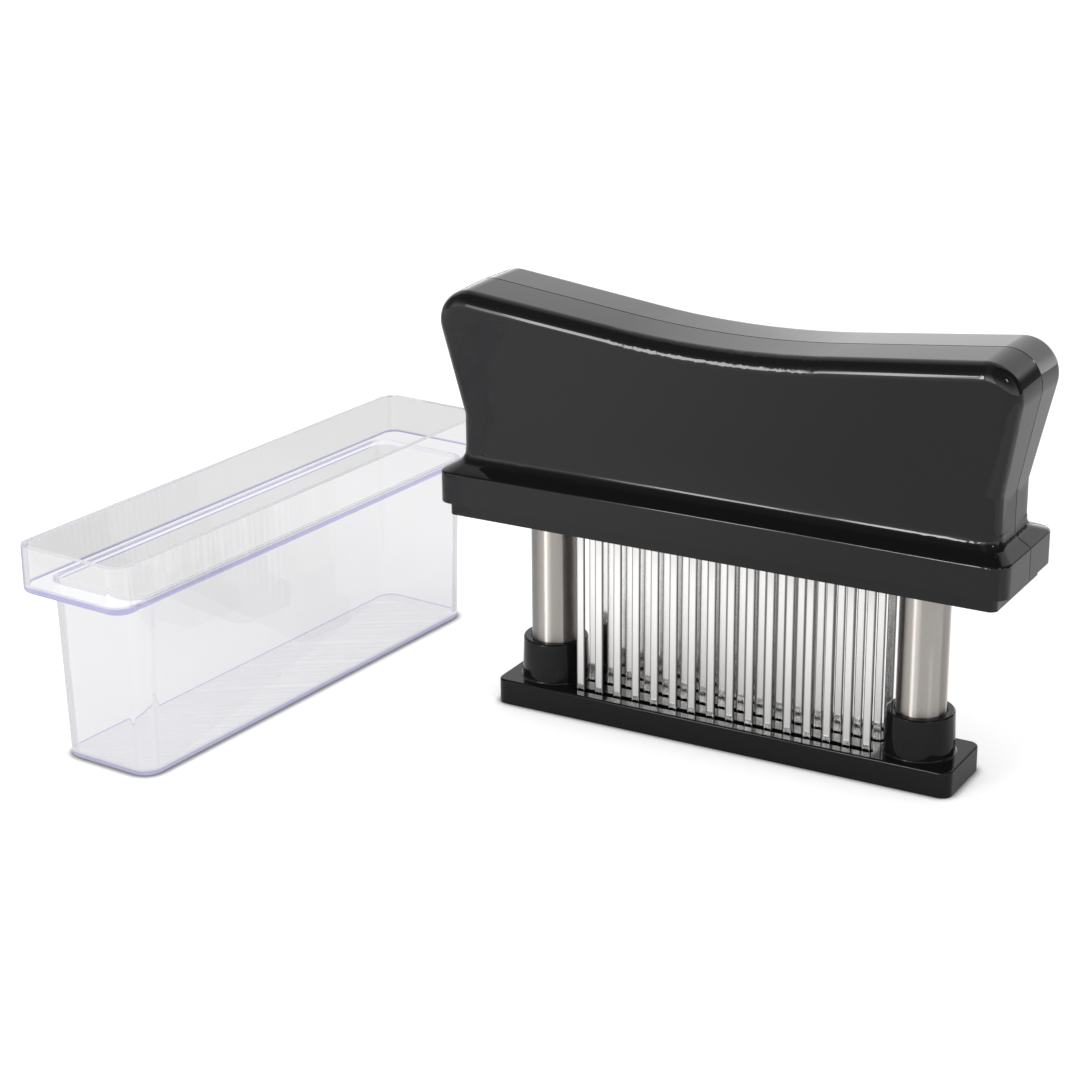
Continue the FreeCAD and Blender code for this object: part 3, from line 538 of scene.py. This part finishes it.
# Where the floor has painted shade in mirrors, to the left of the first and behind the second
MIRROR_SHADE_ACROSS = (-0.13, -0.07)
MIRROR_SHADE_ALONG = (-0.14, -0.08)


def lift_through_cover(path, across, along, far):
    """What clear plastic adds to the floor behind it: more with each wall on the way."""
    aside, endways = from_cover(across, along)
    under = aside.between(*FOOTPRINT_ASIDE, 1, 0) * endways.between(*FOOTPRINT_ENDWAYS, 1, 0)
    walls = path.out("Transmission Depth").between(*WALLS_PASSED, *WALLS_LIFT, "LINEAR")
    return walls.maths("MAXIMUM", walls, under * UNDER_COVER) + far * 0.5


def lift_in_mirrors(shader, across, along):
    """Painted light on the floor that mirrors see: little at the tool, most beside it and half that
    beyond.
    """
    distance = shader.length(shader.node("CombineXYZ", None, {0: across * 0.3, 1: along}))
    return distance.between(0.0, 0.10, 0.15, 0.75) * distance.between(0.11, 0.13, 1.0, 0.5)


def floor_cloth():
    """White cloth that keeps its shadows and gets a painted contact shadow, lit apart for the eye,
    clear plastic and mirrors, with painted light and shade that only mirrors see.
    """
    shader = new_material("floor_white")
    path = shader.node("LightPath")
    across, along, _ = shader.coordinates()
    camera = path.out("Is Camera Ray")
    beyond = beyond_cover(path)
    mirror = path.out("Is Reflection Ray") * (1 - beyond)
    far = shader.length(shader.place()).between(*FAR_AWAY) * FAR_LIFT
    # Painted contact shadow: ambient occlusion darkens the floor's colour and the eye's glow close
    # to any piece
    occlusion = shader.node("AmbientOcclusion", {"samples": 8}, {"Distance": CONTACT_SHADOW_REACH})
    painted_contact_shadow = occlusion.out("AO").between(0.45, 0.95, 0.25, 1.0)
    # Painted shade in mirrors: the floor that reflections show is darker in this patch and towards
    # the tool's right
    mirror_shade_patch = across.between(*MIRROR_SHADE_ACROSS, 1.0, 0.0) * along.between(*MIRROR_SHADE_ALONG)
    side = across.between(-0.14, 0.0, 1.0, 0.75) * (1 - mirror_shade_patch * 0.45)
    lift = camera * (EYE_LIFT + far) * painted_contact_shadow
    lift = lift + lift_through_cover(path, across, along, far) * beyond
    lift = lift + lift_in_mirrors(shader, across, along) * side * mirror
    # The floor's colour is darker in mirrors by that painted shade, next to pieces by the painted
    # contact shadow, and behind clear plastic
    tone = (1 - mirror * (1 - side * 0.85)) * (1 - camera * (1 - painted_contact_shadow)) * (1 - beyond * 0.4)
    cloth = shader.node("BsdfDiffuse", None, {0: shader.grey(tone * FLOOR_TONE)})
    glow = shader.node("Emission", None, {"Color": shader.grey(lift), "Strength": 1.0})
    return shader.finish(shader.node("AddShader", None, {0: cloth, 1: glow}))


def lay_floor():
    bpy.ops.object.select_all(action="DESELECT")
    bpy.ops.mesh.primitive_plane_add(size=FLOOR_WIDE)
    floor = bpy.context.object
    floor.name = "floor"
    floor.data.materials.append(floor_cloth())
    return floor


# Light and camera ------------------------------------------------------------------------------

# How bright mirrors see the room, from the horizon (0) to straight above (1)
FRONT_GLOW = [(0.0, 0.95), (0.2, 0.65), (0.35, 0.32), (0.5, 0.12), (0.7, 0.05), (1.0, 0.04)]
BACK_GLOW = [
    (0.0, 0.95), (0.12, 0.78), (0.22, 0.56), (0.34, 0.51), (0.44, 0.44),
    (0.6, 0.38), (0.75, 0.32), (0.9, 0.22), (0.97, 0.08), (1.0, 0.04),
]
MIRROR_LEVEL = 2.25
ROOM_LEVEL = 0.75

# Name, direction from the tool, distance, width and height, and brightness
LAMPS = [
    ("front_left_softbox", (-0.385, -0.90, 0.2), 1.6, (0.20, 0.44), 5.0),
    ("front_left_bulb", (-0.385, -0.90, 0.2), 1.55, (0.11, 0.44), 9.0),
    ("front_softbox", (-0.29, -0.935, 0.2), 1.6, (0.12, 0.48), 18.0),
    ("right_lamp", (0.70, -0.35, 0.61), 1.6, (0.2, 0.2), 12.0),
    ("top_lamp", (-0.3, -0.2, 1.0), 1.5, (0.9, 0.9), 1.2),
]
LAMPS_NOT_MIRRORED = {"top_lamp"}
LIT_POINT = (-0.03, 0, 0.06)

CAMERA_PLACE = (0.269346, -0.573289, 0.283259)
CAMERA_TURN = 0.5169
CAMERA_RISE = 0.34845
CAMERA_ROLL = -0.00858
CAMERA_LENS = 88.645


def light_room():
    """White to the eye, and in mirrors a bright horizon under a dark ceiling."""
    world = bpy.data.worlds.new("studio")
    bpy.context.scene.world = world
    shader = Shader(world)
    east, north, height = shader.split(shader.node("TexCoord").out("Generated"))
    behind = north.between(0.0, 0.35)
    front_glow = shader.node("ValToRGB", {"stops": FRONT_GLOW}, {0: height})
    back_glow = shader.node("ValToRGB", {"stops": BACK_GLOW}, {0: height})
    glow = front_glow * (1 - behind) + back_glow * behind
    around = north.maths("ARCTAN2", north, east)
    flag = around.between(0.23, 0.30) * around.between(1.10, 1.19, 1.0, 0.0)
    west_wall = east.between(-0.95, -0.75, 0.2, 1.0)
    window = east.between(-0.30, -0.22) * east.between(0.0, 0.06, 1.0, 0.0) * (1 - behind)
    mirrored = glow * MIRROR_LEVEL * (1 - flag * 0.93) * west_wall * (1 + window * 1.5)
    path = shader.node("LightPath")
    seen = (path.out("Is Camera Ray") + beyond_cover(path)).kept_to_one()
    glossy = path.out("Is Glossy Ray")
    level = seen + (1 - seen) * (glossy * mirrored + (1 - glossy) * ROOM_LEVEL)
    shader.finish(shader.node("Background", None, {"Color": (1, 1, 1, 1), "Strength": level}))


def hang_lamp(name, toward, distance, size, level):
    """A rectangular lamp in this direction from the tool, turned to face it."""
    lamp = bpy.data.lights.new(name, "AREA")
    lamp.shape = "RECTANGLE"
    lamp.size, lamp.size_y = size
    lamp.energy = level * math.pi * size[0] * size[1]
    holder = bpy.data.objects.new(name, lamp)
    bpy.context.scene.collection.objects.link(holder)
    direction = Vector(toward).normalized()
    holder.location = Vector(LIT_POINT) + direction * distance
    holder.rotation_euler = direction.to_track_quat("Z", "Y").to_euler()
    holder.visible_glossy = name not in LAMPS_NOT_MIRRORED


def set_camera():
    turn, rise, roll = CAMERA_TURN, CAMERA_RISE, CAMERA_ROLL
    flat = math.cos(rise)
    back = Vector((math.sin(turn) * flat, -math.cos(turn) * flat, math.sin(rise)))
    level = Vector((math.cos(turn), math.sin(turn), 0))
    upright = back.cross(level)
    right = math.cos(roll) * level + math.sin(roll) * upright
    up = math.cos(roll) * upright - math.sin(roll) * level
    data = bpy.data.cameras.new("camera")
    data.sensor_width = 36
    data.lens = CAMERA_LENS
    data.clip_start = 0.01
    camera = bpy.data.objects.new("camera", data)
    bpy.context.scene.collection.objects.link(camera)
    turned = Matrix((right, up, back)).transposed().to_4x4()
    camera.matrix_world = Matrix.Translation(Vector(CAMERA_PLACE)) @ turned
    bpy.context.scene.camera = camera


floor = lay_floor()
light_room()
for lamp_row in LAMPS:
    hang_lamp(*lamp_row)
set_camera()

bpy.context.scene.view_settings.view_transform = "Standard"
